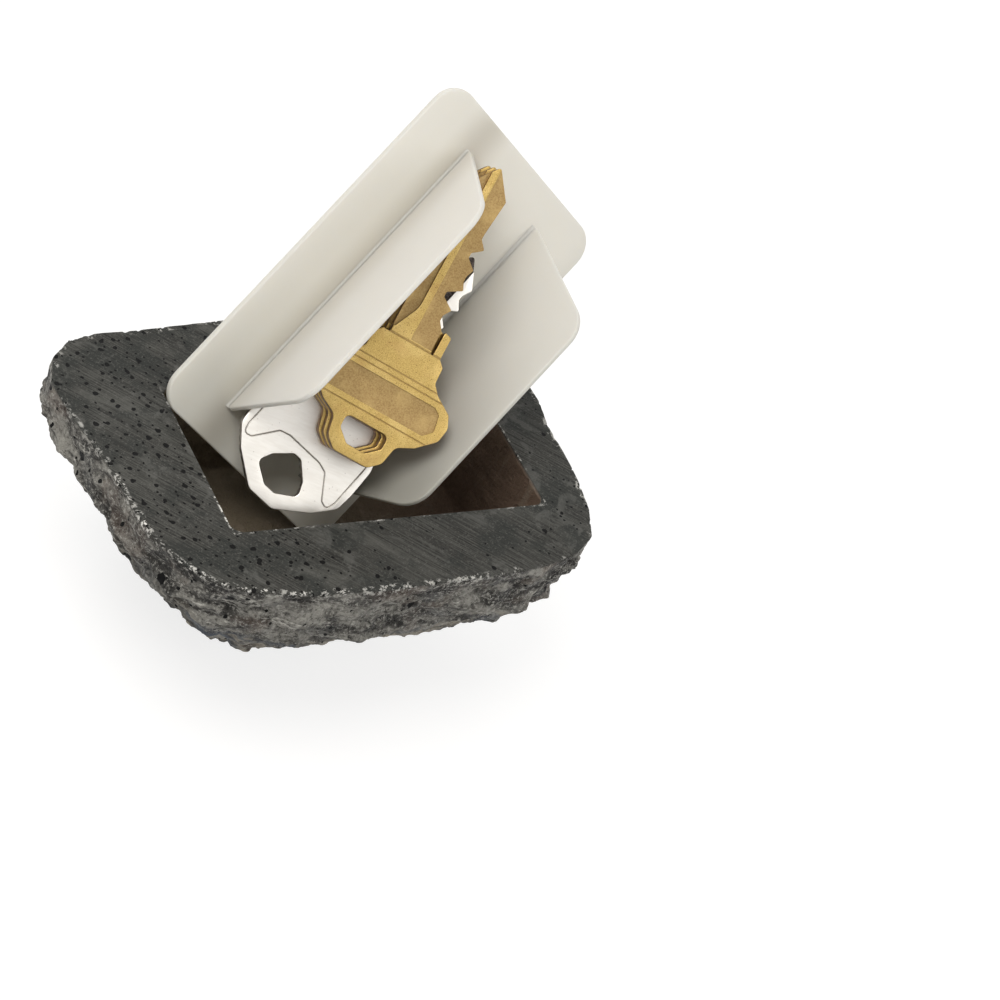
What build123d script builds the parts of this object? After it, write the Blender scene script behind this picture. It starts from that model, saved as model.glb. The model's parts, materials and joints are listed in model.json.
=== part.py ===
from build123d import *
from math import cos, radians, sin, sqrt
import os

# Hollow cast-resin rock that hides spare keys. It lies on its crown with its flat base up, the
# moulded key holder stands in the open pocket, and four keys lie in the holder.
# Origin: on the crown facet that it rests on, straight under the middle of the pocket.
# X runs along the pocket, +Z is up.

# ---- rock (mm)
ROCK_HEIGHT = 46.0
FACE_LENGTH = 95.4
FACE_WIDTH = 66.4
FACE_SHIFT_X = -3.6          # centre of the flat base from the centre of the pocket
FACE_SHIFT_Y = 1.1
SIDE_BULGE = 0.9             # how far the side stands out just under the base edge
SIDE_DRAW_IN = 3.0           # how far the side's foot stands in at each end
SIDE_DEPTH = 17.0            # height of the near-upright side
CROWN_LENGTH = 46.0
CROWN_WIDTH = 31.0
CROWN_SHIFT_X = 7.0
CROWN_SHIFT_Y = 8.5
LUMP = 1.2                   # height of the lumps in the sides and slopes
LUMP_FADE = 5.0              # the lumps fade out over this height next to the base and the crown
STEPS_PER_LEVEL = 3          # sections between two slope changes

# ---- pocket (mm)
POCKET_LENGTH = 63.5
POCKET_WIDTH = 34.0
POCKET_DEPTH = 22.0
POCKET_DRAFT = 2.0           # degrees
POCKET_CORNER = 2.2

# ---- holder (mm)
PLATE_LENGTH = 75.0
PLATE_WIDTH = 46.0
PLATE_THICKNESS = 1.4
PLATE_CORNER = 5.0
WING_SPACING = 21.4          # between the two wing roots
WING_THICKNESS = 1.1
WING_HEIGHT = 22.8
WING_ROOT_LENGTH = 62.0
WING_EDGE_LENGTH = 43.6
WING_EDGE_SHIFT = 0.3
WING_CORNER = 6.0
UPPER_SPLAY = 11.7           # degrees, away from upright on the plate
LOWER_SPLAY = 16.0
ROOT_GAP = 0.2               # living-hinge line between a wing and the plate
SEAT_GAP = 0.5               # along the holder, from its corner's tangent to the rim

# ---- how the holder stands in the pocket
LONG_AXIS = (0.6544, 0.2864, 0.6999)
FACE_NORMAL = (-0.0537, -0.9056, 0.4208)
RIM_INSET = 6.8              # where the short edge crosses the left rim, from the far wall
SLIDE_DOWN = 17.3            # how far along that edge the crossing is from the middle

# ---- keys (mm)
KEY_THICKNESS = 2.0
KEY_GAP = 0.12
KEY_LENGTH = 57.0
BRASS_BOW_WIDTH = 25.8
BRASS_BOW_LENGTH = 22.6
BRASS_NECK_WIDTH = 11.6
BLADE_WIDTH = 8.2
BLADE_CUT_DEPTHS = (1.2, 2.6, 0.8, 2.0, 1.5)
CUT_PITCH = 3.97
FIRST_CUT = 6.4
NUB_WIDTH = 1.5
NUB_LENGTH = 4.6
NUB_SLOT = 0.5
GROOVE_WIDTH = 2.4
GROOVE_DEPTH = 0.6
NICKEL_BOW_WIDTH = 23.4
NICKEL_BOW_LENGTH = 27.5
NICKEL_OVERHANG = 1.1        # bow end beyond the plate's short edge
NICKEL_ASIDE = 0.9           # nickel key's middle, towards the upper wing
STACK_ROLL = 24.0            # degrees, keys turned about the holder's long axis
STACK_DIP = 4.8              # degrees, tips lower than bows
STACK_SIDE = 1.3             # stack's middle, towards the lower wing
STACK_HEIGHT = 9.1           # underside of the nickel key's bow end above the plate
BRASS_AHEAD = 14.9           # brass bow end from the nickel bow end
BRASS_ASIDE = 4.8
BRASS_TURN = 14.0            # degrees, in the keys' own plane
BRASS_FAN = 0.5              # each lower brass key stands out this much

FACE_Z = ROCK_HEIGHT

# The flat base's outline, as shares of its half length and half width
FACE_OUTLINE = (
    (-1.00, 0.55), (-0.85, 0.86), (-0.56, 0.90), (-0.17, 0.95), (0.30, 1.00), (0.72, 0.86),
    (0.98, 0.40), (0.96, 0.02), (0.95, -0.38), (0.86, -0.80), (0.60, -0.96), (0.14, -1.00),
    (-0.42, -0.99), (-0.76, -0.84), (-0.90, -0.50), (-0.94, 0.00),
)


def base_outline():
    """The outline's corners with one point more on each stretch, bent towards its neighbours."""
    count = len(FACE_OUTLINE)
    points = []
    for index, here in enumerate(FACE_OUTLINE):
        before = FACE_OUTLINE[index - 1]
        after = FACE_OUTLINE[(index + 1) % count]
        beyond = FACE_OUTLINE[(index + 2) % count]
        points.append(here)
        points.append(tuple(
            (9 * (here[axis] + after[axis]) - before[axis] - beyond[axis]) / 16 for axis in (0, 1)
        ))
    return points


def lump_height(x, y, z):
    """Lumps of the casting from crossing waves, fading out at the base and at the crown."""
    broad = sin(0.19 * x + 0.27 * z + 1.0) * cos(0.23 * y - 0.16 * z)
    narrow = sin(0.36 * x - 0.31 * y + 0.62 * z + 0.7)
    fade = min(1.0, (FACE_Z - z) / LUMP_FADE, z / LUMP_FADE)
    return LUMP * (broad + 0.7 * narrow - 0.5) * fade


def rock_section(height, half_length, half_width, shift_x, shift_y):
    """One level of the rock: the base outline stretched to this level, with its lumps."""
    points = []
    for share_x, share_y in base_outline():
        x = share_x * half_length + shift_x
        y = share_y * half_width + shift_y
        reach = sqrt(share_x ** 2 + share_y ** 2)
        swell = lump_height(x, y, height)
        points.append((x + swell * share_x / reach, y + swell * share_y / reach))
    with BuildSketch(Plane.XY.offset(height)) as section:
        with BuildLine():
            Polyline(*points, close=True)
        make_face()
    return section.sketch


def rock_levels():
    """Height, half length, half width and centre of the plain shape where its slope changes."""
    half_length = FACE_LENGTH / 2
    half_width = FACE_WIDTH / 2
    side_z = FACE_Z - SIDE_DEPTH
    return (
        (0, CROWN_LENGTH / 2, CROWN_WIDTH / 2, CROWN_SHIFT_X, CROWN_SHIFT_Y),
        (
            side_z / 2, 0.51 * (half_length + CROWN_LENGTH / 2), 0.54 * (half_width + CROWN_WIDTH / 2),
            0.3 * FACE_SHIFT_X + 0.7 * CROWN_SHIFT_X, FACE_SHIFT_Y + 0.7 * CROWN_SHIFT_Y,
        ),
        (
            side_z, half_length - SIDE_DRAW_IN, half_width - SIDE_BULGE,
            FACE_SHIFT_X + 0.4 * CROWN_SHIFT_X, FACE_SHIFT_Y + 0.15 * CROWN_SHIFT_Y,
        ),
        (
            FACE_Z - SIDE_DEPTH / 2, half_length + SIDE_BULGE, half_width + SIDE_BULGE / 2,
            FACE_SHIFT_X, FACE_SHIFT_Y,
        ),
        (FACE_Z, half_length, half_width, FACE_SHIFT_X, FACE_SHIFT_Y),
    )


def rock_blank():
    """Upright sides under the base, then slopes that draw in to the crown facet."""
    levels = rock_levels()
    sections = [rock_section(*levels[0])]
    for lower, upper in zip(levels, levels[1:]):
        for step in range(1, STEPS_PER_LEVEL + 1):
            share = step / STEPS_PER_LEVEL
            sections.append(rock_section(*[
                low + share * (high - low) for low, high in zip(lower, upper)
            ]))
    return loft(sections, ruled=True)


def pocket_space():
    """The pocket's air, from its mouth in the base down to its floor."""
    mouth = Plane.XY.offset(FACE_Z) * RectangleRounded(POCKET_LENGTH, POCKET_WIDTH, POCKET_CORNER)
    return extrude(mouth, amount=-POCKET_DEPTH, taper=POCKET_DRAFT)


def rock_body():
    return rock_blank() - pocket_space()


def holder_plane():
    """The plate's middle plane: x along its length, y towards the upper wing, z to its front."""
    along = Vector(*LONG_AXIS).normalized()
    front = Vector(*FACE_NORMAL).normalized()
    across = front.cross(along)
    rest = Vector(-POCKET_LENGTH / 2, POCKET_WIDTH / 2 - RIM_INSET, FACE_Z)
    origin = rest + along * (PLATE_LENGTH / 2 + SEAT_GAP) - across * SLIDE_DOWN
    return Plane(origin=origin, x_dir=along, z_dir=front)


def holder_plate():
    return extrude(
        RectangleRounded(PLATE_LENGTH, PLATE_WIDTH, PLATE_CORNER), amount=PLATE_THICKNESS / 2, both=True,
    )


def wing(splay, side):
    """One wing on its root line: side is +1 for the upper wing and -1 for the lower one."""
    root_z = PLATE_THICKNESS / 2 + ROOT_GAP
    half_root = WING_ROOT_LENGTH / 2
    half_edge = WING_EDGE_LENGTH / 2
    with BuildSketch() as shape:
        with BuildLine():
            Polyline(
                (-half_root, 0), (half_root, 0), (WING_EDGE_SHIFT + half_edge, WING_HEIGHT),
                (WING_EDGE_SHIFT - half_edge, WING_HEIGHT), close=True,
            )
        make_face()
        fillet(shape.vertices().sort_by(Axis.Y)[-2:], WING_CORNER)
    blade = extrude(shape.sketch, amount=WING_THICKNESS / 2, both=True)
    blade = Rot(X=90 - side * splay) * blade
    lift = WING_THICKNESS / 2 * sin(radians(splay))
    return Pos(0, side * WING_SPACING / 2, root_z + lift) * blade


def stack_plane():
    """Plane of the keys in the holder: origin at the nickel key's bow end, x along it."""
    roll = radians(STACK_ROLL)
    dip = radians(STACK_DIP)
    normal = Vector(sin(dip), sin(roll) * cos(dip), cos(roll) * cos(dip))
    along = (Vector(1, 0, 0) - normal * normal.X).normalized()
    origin = Vector(
        -PLATE_LENGTH / 2 - NICKEL_OVERHANG, -STACK_SIDE, PLATE_THICKNESS / 2 + STACK_HEIGHT,
    )
    return Plane(origin=origin, x_dir=along, z_dir=normal)


def bitted_blade(start, right_edge):
    """Blade outline from the shoulder to the tip, its cuts on the right-hand side."""
    left_edge = right_edge - BLADE_WIDTH
    points = [(start, left_edge), (start, right_edge)]
    for index, depth in enumerate(BLADE_CUT_DEPTHS):
        middle = start + FIRST_CUT + index * CUT_PITCH
        points.append((middle - CUT_PITCH / 2, right_edge - 0.1 * depth))
        points.append((middle - CUT_PITCH / 8, right_edge - depth))
        points.append((middle + CUT_PITCH / 8, right_edge - depth))
    points.append((KEY_LENGTH - 0.6 * BLADE_WIDTH, right_edge - 0.1 * BLADE_WIDTH))
    points.append((KEY_LENGTH, right_edge - 0.55 * BLADE_WIDTH))
    points.append((KEY_LENGTH - 0.62 * BLADE_WIDTH, left_edge))
    return points


def flat_shape(points):
    """Face from (along, towards the cuts) points; the cuts face -Y."""
    return make_face(Polyline(*[(along, -right) for along, right in points], close=True))


def brass_key():
    """House key with a lobed bow, bow end at the origin and its underside on z = 0."""
    half = BRASS_BOW_WIDTH / 2
    neck = BRASS_NECK_WIDTH / 2
    length = BRASS_BOW_LENGTH
    side = [
        (0.00 * length, 0.26 * half), (0.08 * length, 0.42 * half), (0.24 * length, 0.48 * half),
        (0.31 * length, 0.72 * half), (0.44 * length, 0.96 * half), (0.56 * length, 1.00 * half),
        (0.66 * length, 0.92 * half), (0.75 * length, 0.66 * half), (0.82 * length, 1.22 * neck),
        (0.95 * length, 1.20 * neck), (length, neck),
    ]
    bow = flat_shape(side + [(along, -right) for along, right in reversed(side)])
    bow = fillet(bow.vertices().sort_by(Axis.X)[:2], 0.16 * half)
    hole = flat_shape([
        (0.09 * length, 0.14 * half), (0.09 * length, -0.14 * half), (0.18 * length, -0.32 * half),
        (0.29 * length, -0.32 * half), (0.29 * length, 0.32 * half), (0.18 * length, 0.32 * half),
    ])
    right_edge = neck - NUB_WIDTH - NUB_SLOT
    blade = flat_shape(bitted_blade(length - 0.01, right_edge))
    nub = flat_shape([
        (length - 0.01, neck), (length - 0.01, neck - NUB_WIDTH),
        (length + NUB_LENGTH, neck - NUB_WIDTH), (length + 0.9 * NUB_LENGTH, neck),
    ])
    key = extrude(bow - hole + blade + nub, amount=KEY_THICKNESS)
    groove_length = KEY_LENGTH - length
    groove = Box(
        groove_length, GROOVE_WIDTH, GROOVE_DEPTH, align=(Align.MIN, Align.CENTER, Align.MAX),
    )
    middle = -(right_edge - 0.72 * BLADE_WIDTH)
    return key - Pos(length + 2, middle, KEY_THICKNESS) * groove


def nickel_key():
    """Plated key with a blunt-nosed bow, bow end at the origin, underside on z = 0."""
    half = NICKEL_BOW_WIDTH / 2
    length = NICKEL_BOW_LENGTH
    side = [
        (0.00 * length, 0.23 * half), (0.15 * length, 0.72 * half), (0.28 * length, 0.98 * half),
        (0.40 * length, 1.00 * half), (0.60 * length, 0.98 * half), (0.76 * length, 0.84 * half),
        (length, BLADE_WIDTH / 2),
    ]
    bow = flat_shape(side + [(along, -right) for along, right in reversed(side)])
    hole = flat_shape([
        (0.085 * length, 0.10 * half), (0.085 * length, -0.10 * half), (0.17 * length, -0.41 * half),
        (0.26 * length, -0.31 * half), (0.355 * length, -0.07 * half), (0.355 * length, 0.07 * half),
        (0.26 * length, 0.31 * half), (0.17 * length, 0.41 * half),
    ])
    blade = flat_shape(bitted_blade(length - 0.01, BLADE_WIDTH / 2))
    key = extrude(bow - hole + blade, amount=KEY_THICKNESS)
    groove = Box(
        KEY_LENGTH - length, GROOVE_WIDTH, GROOVE_DEPTH,
        align=(Align.MIN, Align.CENTER, Align.MAX),
    )
    return key - Pos(length + 2, 0, KEY_THICKNESS) * groove


def keys_in_stack():
    """The nickel key at the bottom, then three brass keys fanned to the left."""
    pitch = KEY_THICKNESS + KEY_GAP
    stack = {"nickel_key": Pos(0, NICKEL_ASIDE, 0) * nickel_key()}
    names = ("brass_key_bottom", "brass_key_middle", "brass_key_top")
    for level, name in enumerate(names, start=1):
        aside = -BRASS_ASIDE + BRASS_FAN * (len(names) - level)
        place = Pos(BRASS_AHEAD, aside, level * pitch) * Rot(Z=BRASS_TURN)
        stack[name] = place * brass_key()
    return stack


def main():
    os.makedirs("parts", exist_ok=True)
    holder = holder_plane()
    stack = holder * stack_plane()
    nodes = {
        "rock_body": rock_body(),
        "holder_plate": holder.location * holder_plate(),
        "upper_wing": holder.location * wing(UPPER_SPLAY, 1),
        "lower_wing": holder.location * wing(LOWER_SPLAY, -1),
    }
    for name, key in keys_in_stack().items():
        nodes[name] = stack * key
    for name, solid in nodes.items():
        export_step(solid, f"parts/{name}.step")
        print(name, round(solid.volume, 1), [round(v, 2) for v in solid.bounding_box().size])
    for side in (1, -1):
        root = holder.from_local_coords(Vector(0, side * WING_SPACING / 2, PLATE_THICKNESS / 2))
        print("wing root", side, root)


main()
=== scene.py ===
import json
from math import atan2, cos, pi, radians, sin, tan

import bmesh
import bpy
from mathutils import Matrix, Vector, kdtree, noise


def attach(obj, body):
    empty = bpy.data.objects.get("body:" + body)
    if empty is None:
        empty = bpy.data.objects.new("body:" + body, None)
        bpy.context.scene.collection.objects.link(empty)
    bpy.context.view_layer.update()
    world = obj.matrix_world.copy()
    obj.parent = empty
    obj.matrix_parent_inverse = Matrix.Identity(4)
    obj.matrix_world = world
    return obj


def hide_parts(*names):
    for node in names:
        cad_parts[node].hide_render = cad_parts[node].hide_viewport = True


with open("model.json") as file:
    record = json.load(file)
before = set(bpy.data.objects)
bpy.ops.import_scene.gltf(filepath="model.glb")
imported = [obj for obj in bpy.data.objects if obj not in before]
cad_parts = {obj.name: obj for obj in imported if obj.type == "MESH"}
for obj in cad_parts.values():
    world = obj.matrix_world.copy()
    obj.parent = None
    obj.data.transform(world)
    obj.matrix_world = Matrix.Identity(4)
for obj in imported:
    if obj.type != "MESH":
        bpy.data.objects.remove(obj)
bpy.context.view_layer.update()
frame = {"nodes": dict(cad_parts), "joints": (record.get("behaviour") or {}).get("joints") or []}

# Lengths below are in millimetres unless a name says otherwise; MM turns them into metres.
MM = 0.001

# ---- camera, solved for a 1000 x 1000 frame
CAMERA_PLACE = Vector((-0.25195, -0.27444, 0.35956))
CAMERA_LOOK = Vector((0.5596, 0.5282, -0.6386))
CAMERA_UP = Vector((0.0756, 0.7349, 0.6740))
CAMERA_LENS = 99.47
SENSOR = 36.0
FLOOR_REACH = 3.0

# ---- rock
BASE_Z = 46.0
POCKET_HALF_LENGTH = 31.75
POCKET_HALF_WIDTH = 17.0
POCKET_FLOOR_Z = 24.0
ROCK_VOXEL = 0.45
SAW_ANGLE = 46.6

# ---- holder
PLATE_LENGTH = 75.0
PLATE_WIDTH = 46.0
PLATE_THICKNESS = 1.4
PLATE_CORNER = 5.0
PLATE_ROUND = 0.35
ROOT_GAP = 0.2
WING_THICKNESS = 1.1
WING_HEIGHT = 22.8
WING_ROOT_LENGTH = 62.0
WING_EDGE_LENGTH = 43.6
WING_EDGE_SHIFT = 0.3
WING_CORNER = 6.0
WING_ROUND = 0.3
SEEN_FILLET = 0.6
HIDDEN_FILLET = 0.6
SPLAY = {"upper_wing": 11.7, "lower_wing": 16.0}
# Painted shade laid along the fold where a wing grows out of the plate.
PAINTED_FOLD_SHADE = (0.50, 0.47, 0.40)

# ---- keys
KEY_THICKNESS = 2.0
KEY_GAP = 0.12
KEY_LENGTH = 57.0
KEY_ROUND = 0.16
BLADE_WIDTH = 8.2
BLADE_CUT_DEPTHS = (1.2, 2.6, 0.8, 2.0, 1.5)
CUT_PITCH = 3.97
FIRST_CUT = 6.4
BRASS_BOW_WIDTH = 25.8
BRASS_BOW_LENGTH = 22.6
BRASS_NECK_WIDTH = 11.6
BAND_SHARES = (0.37, 0.71, 0.76)
NUB_WIDTH = 1.5
NUB_LENGTH = 4.6
NUB_SLOT = 0.5
NICKEL_BOW_WIDTH = 23.4
NICKEL_BOW_LENGTH = 27.5
NICKEL_OVERHANG = 1.1
NICKEL_ASIDE = 0.9
STACK_ROLL = 24.0
STACK_DIP = 4.8
STACK_SIDE = 1.3
STACK_HEIGHT = 9.1
BRASS_AHEAD = 14.9
BRASS_ASIDE = 4.8
BRASS_TURN = 14.0
BRASS_FAN = 0.5


# ------------------------------------------------------------------ meshes

def add_object(name, mesh):
    thing = bpy.data.objects.new(name, mesh)
    bpy.context.scene.collection.objects.link(thing)
    return thing


def settle(thing):
    """Replaces an object's mesh by the mesh that its modifiers make, and drops the modifiers."""
    graph = bpy.context.evaluated_depsgraph_get()
    mesh = bpy.data.meshes.new_from_object(thing.evaluated_get(graph))
    thing.modifiers.clear()
    thing.data = mesh
    return thing


def merge_close(mesh, distance=1e-6):
    shape = bmesh.new()
    shape.from_mesh(mesh)
    bmesh.ops.remove_doubles(shape, verts=shape.verts, dist=distance)
    bmesh.ops.dissolve_degenerate(shape, dist=distance / 2, edges=shape.edges)
    bmesh.ops.recalc_face_normals(shape, faces=shape.faces)
    shape.to_mesh(mesh)
    shape.free()


def shade(mesh, sharp_degrees):
    for polygon in mesh.polygons:
        polygon.use_smooth = True
    mesh.set_sharp_from_angle(angle=radians(sharp_degrees))


def rounded(points, radius, steps=6):
    """Closed outline with its corners turned into arcs. Points are (x, y) or (x, y, own radius)."""
    outline = []
    count = len(points)
    for index, point in enumerate(points):
        corner = Vector(point[:2])
        before = Vector(points[index - 1][:2]) - corner
        after = Vector(points[(index + 1) % count][:2]) - corner
        own = point[2] if len(point) > 2 else radius
        half = before.angle(after) / 2
        if own <= 0 or half > radians(88):
            outline.append(tuple(corner))
            continue
        reach = min(own / tan(half), 0.48 * before.length, 0.48 * after.length)
        arc = reach * tan(half)
        centre = corner + (before.normalized() + after.normalized()).normalized() * (arc / sin(half))
        start = corner + before.normalized() * reach - centre
        end = corner + after.normalized() * reach - centre
        turn = atan2(start.x * end.y - start.y * end.x, start.dot(end))
        for step in range(steps + 1):
            share = turn * step / steps
            outline.append((
                centre.x + start.x * cos(share) - start.y * sin(share),
                centre.y + start.x * sin(share) + start.y * cos(share),
            ))
    return outline


def slab(name, outlines, thickness, edge_round, base=0.0):
    """Flat piece with softened edges from a closed outline and its holes, standing on z = base."""
    curve = bpy.data.curves.new(name, "CURVE")
    curve.dimensions = "2D"
    curve.fill_mode = "BOTH"
    curve.extrude = (thickness / 2 - edge_round) * MM
    curve.bevel_depth = edge_round * MM
    curve.bevel_resolution = 2
    curve.offset = -edge_round * MM
    for outline in outlines:
        spline = curve.splines.new("POLY")
        spline.points.add(len(outline) - 1)
        spline.use_cyclic_u = True
        for point, (x, y) in zip(spline.points, outline):
            point.co = (x * MM, y * MM, 0, 1)
    drawn = bpy.data.objects.new(name, curve)
    bpy.context.scene.collection.objects.link(drawn)
    graph = bpy.context.evaluated_depsgraph_get()
    mesh = bpy.data.meshes.new_from_object(drawn.evaluated_get(graph))
    bpy.data.objects.remove(drawn)
    mesh.transform(Matrix.Translation((0, 0, (base + thickness / 2) * MM)))
    merge_close(mesh)
    return add_object(name, mesh)


def tube(name, points, radius, height, closed=True):
    """Round cutter along a path at one height."""
    curve = bpy.data.curves.new(name, "CURVE")
    curve.dimensions = "3D"
    curve.bevel_depth = radius * MM
    curve.bevel_resolution = 3
    curve.use_fill_caps = True
    spline = curve.splines.new("POLY")
    spline.points.add(len(points) - 1)
    spline.use_cyclic_u = closed
    for point, (x, y) in zip(spline.points, points):
        point.co = (x * MM, y * MM, height * MM, 1)
    drawn = bpy.data.objects.new(name, curve)
    bpy.context.scene.collection.objects.link(drawn)
    graph = bpy.context.evaluated_depsgraph_get()
    mesh = bpy.data.meshes.new_from_object(drawn.evaluated_get(graph))
    bpy.data.objects.remove(drawn)
    merge_close(mesh)
    return add_object(name, mesh)


def carve(thing, cutters):
    """Cuts each cutter out of a piece and throws the cutters away."""
    for cutter in cutters:
        cut = thing.modifiers.new("cut", "BOOLEAN")
        cut.operation = "DIFFERENCE"
        cut.solver = "EXACT"
        cut.object = cutter
    settle(thing)
    for cutter in cutters:
        bpy.data.objects.remove(cutter)


# ------------------------------------------------------------------ materials

class Look:
    """A node material, with short calls for the nodes that the materials share."""

    def __init__(self, name):
        self.material = bpy.data.materials.new(name)
        self.material.use_nodes = True
        self.tree = self.material.node_tree
        self.shader = self.tree.nodes["Principled BSDF"]
        self.place = self.tree.nodes.new("ShaderNodeTexCoord").outputs["Object"]

    def put(self, socket, value):
        if isinstance(value, bpy.types.NodeSocket):
            self.tree.links.new(value, socket)
        elif isinstance(value, (tuple, list)) and len(value) == 3 and len(socket.default_value) == 4:
            socket.default_value = (*value, 1.0)
        else:
            socket.default_value = value

    def set(self, **values):
        for name, value in values.items():
            self.put(self.shader.inputs[name.replace("_", " ")], value)

    def stretched(self, scale, turn=(0, 0, 0)):
        """Object coordinates per millimetre, scaled by axis after a turn in degrees."""
        turned = self.tree.nodes.new("ShaderNodeMapping")
        self.put(turned.inputs["Vector"], self.place)
        turned.inputs["Rotation"].default_value = [radians(angle) for angle in turn]
        scaled = self.tree.nodes.new("ShaderNodeMapping")
        self.put(scaled.inputs["Vector"], turned.outputs["Vector"])
        scaled.inputs["Scale"].default_value = [share / MM for share in scale]
        return scaled.outputs["Vector"]

    def noise(self, vector, scale=1.0, detail=4.0, rough=0.55, distortion=0.0, output="Fac"):
        node = self.tree.nodes.new("ShaderNodeTexNoise")
        self.put(node.inputs["Vector"], vector)
        node.inputs["Scale"].default_value = scale
        node.inputs["Detail"].default_value = detail
        node.inputs["Roughness"].default_value = rough
        node.inputs["Distortion"].default_value = distortion
        return node.outputs[output]

    def cells(self, vector, scale=1.0, output="Distance", dimensions="3D"):
        node = self.tree.nodes.new("ShaderNodeTexVoronoi")
        node.voronoi_dimensions = dimensions
        self.put(node.inputs["Vector"], vector)
        node.inputs["Scale"].default_value = scale
        return node.outputs[output]

    def band(self, value, low, high):
        """0 below low, 1 above high, smooth between. Low may be the larger of the two."""
        node = self.tree.nodes.new("ShaderNodeMapRange")
        node.interpolation_type = "SMOOTHSTEP"
        self.put(node.inputs["Value"], value)
        node.inputs["From Min"].default_value = low
        node.inputs["From Max"].default_value = high
        return node.outputs["Result"]

    def math(self, operation, first, second=0.0):
        node = self.tree.nodes.new("ShaderNodeMath")
        node.operation = operation
        self.put(node.inputs[0], first)
        self.put(node.inputs[1], second)
        return node.outputs[0]

    def mix(self, share, first, second):
        node = self.tree.nodes.new("ShaderNodeMix")
        node.data_type = "RGBA"
        self.put(node.inputs["Factor"], share)
        self.put(node.inputs["A"], first)
        self.put(node.inputs["B"], second)
        return node.outputs["Result"]

    def attribute(self, name):
        node = self.tree.nodes.new("ShaderNodeAttribute")
        node.attribute_name = name
        return node.outputs["Fac"]

    def along(self, direction):
        """How far a place lies along a direction, in metres."""
        node = self.tree.nodes.new("ShaderNodeVectorMath")
        node.operation = "DOT_PRODUCT"
        self.put(node.inputs[0], self.place)
        node.inputs[1].default_value = direction
        return node.outputs["Value"]

    def bump(self, height, distance, strength=1.0, normal=None):
        node = self.tree.nodes.new("ShaderNodeBump")
        node.inputs["Strength"].default_value = strength
        node.inputs["Distance"].default_value = distance * MM
        self.put(node.inputs["Height"], height)
        if normal is not None:
            self.put(node.inputs["Normal"], normal)
        return node.outputs["Normal"]


def sawn_tone(look, plain):
    """Dark base with fine diagonal saw marks and paler smears. Also gives the marks' height."""
    turn = (0, 0, SAW_ANGLE)
    marks = look.noise(look.stretched((0.07, 3.2, 1.0), turn), 1.0, 6.0, 0.72)
    smears = look.noise(look.stretched((0.045, 0.13, 1.0), turn), 1.0, 5.0, 0.6, 0.7)
    clouds = look.noise(plain, 0.11, 6.0, 0.62)
    worn = look.noise(plain, 0.16, 5.0, 0.60, 0.8)
    dust = look.noise(plain, 2.6, 4.0, 0.7)
    tone = look.mix(look.band(marks, 0.39, 0.62), (0.026, 0.026, 0.024), (0.088, 0.088, 0.081))
    tone = look.mix(look.math("MULTIPLY", look.band(smears, 0.52, 0.70), 0.60), tone, (0.125, 0.125, 0.115))
    tone = look.mix(look.math("MULTIPLY", look.band(clouds, 0.46, 0.60), 0.70), tone, (0.028, 0.031, 0.029))
    tone = look.mix(look.math("MULTIPLY", look.band(worn, 0.55, 0.66), 0.50), tone, (0.135, 0.135, 0.127))
    tone = look.mix(look.math("MULTIPLY", look.band(dust, 0.52, 0.68), 0.60), tone, (0.145, 0.143, 0.134))
    return tone, marks


def side_tone(look, plain):
    """Rough grey-brown cast side with pale ledges, painted shade in the hollows of its relief and a painted highlight
    on its raised parts. Also gives their height.
    """
    folds = look.noise(look.stretched((0.085, 0.085, 0.26), (8, -14, 0)), 1.0, 9.0, 0.66, 1.0)
    blotches = look.noise(plain, 0.13, 7.0, 0.66, 0.6)
    brown = look.noise(plain, 0.09, 4.0, 0.55, 0.3)
    dust = look.noise(plain, 1.3, 7.0, 0.78)
    tone = look.mix(look.band(folds, 0.40, 0.60), (0.040, 0.038, 0.036), (0.330, 0.322, 0.295))
    tone = look.mix(look.math("MULTIPLY", look.band(blotches, 0.50, 0.60), 0.60), tone, (0.120, 0.122, 0.120))
    height = look.attribute("relief")
    # Painted shade: near-black where the relief is low, in its hollows.
    tone = look.mix(look.math("MULTIPLY", look.band(height, 0.42, 0.16), 0.85), tone, (0.022, 0.021, 0.020))
    # Painted highlight: paler where the relief is high, on its raised parts.
    tone = look.mix(look.math("MULTIPLY", look.band(height, 0.58, 0.86), 0.55), tone, (0.420, 0.408, 0.372))
    tone = look.mix(look.math("MULTIPLY", look.band(brown, 0.54, 0.66), 0.45), tone, (0.170, 0.132, 0.110))
    tone = look.mix(look.math("MULTIPLY", look.band(dust, 0.52, 0.61), 0.75), tone, (0.520, 0.508, 0.470))
    tone = look.mix(look.math("MULTIPLY", look.band(dust, 0.46, 0.38), 0.80), tone, (0.018, 0.017, 0.016))
    ledges = look.noise(look.stretched((0.11, 0.11, 0.55), (6, -10, 0)), 1.0, 9.0, 0.76, 1.8)
    tone = look.mix(look.math("MULTIPLY", look.band(ledges, 0.58, 0.63), 0.85), tone, (0.70, 0.685, 0.64))
    return tone, look.math("ADD", folds, look.math("MULTIPLY", dust, 0.35))


def crown_tone(look, plain):
    """Beige and grey marbling with black folds and slate-blue patches."""
    marble = look.noise(plain, 0.085, 8.0, 0.68, 1.6)
    tone = look.mix(look.band(marble, 0.42, 0.60), (0.060, 0.060, 0.058), (0.46, 0.42, 0.35))
    slate = look.noise(plain, 0.06, 5.0, 0.55, 0.8)
    tone = look.mix(look.band(slate, 0.56, 0.64), tone, (0.075, 0.092, 0.120))
    folds = look.noise(look.stretched((0.10, 0.16, 0.10), (20, 10, 30)), 1.0, 7.0, 0.7, 2.0)
    return look.mix(look.band(folds, 0.60, 0.70), tone, (0.020, 0.020, 0.020))


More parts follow.
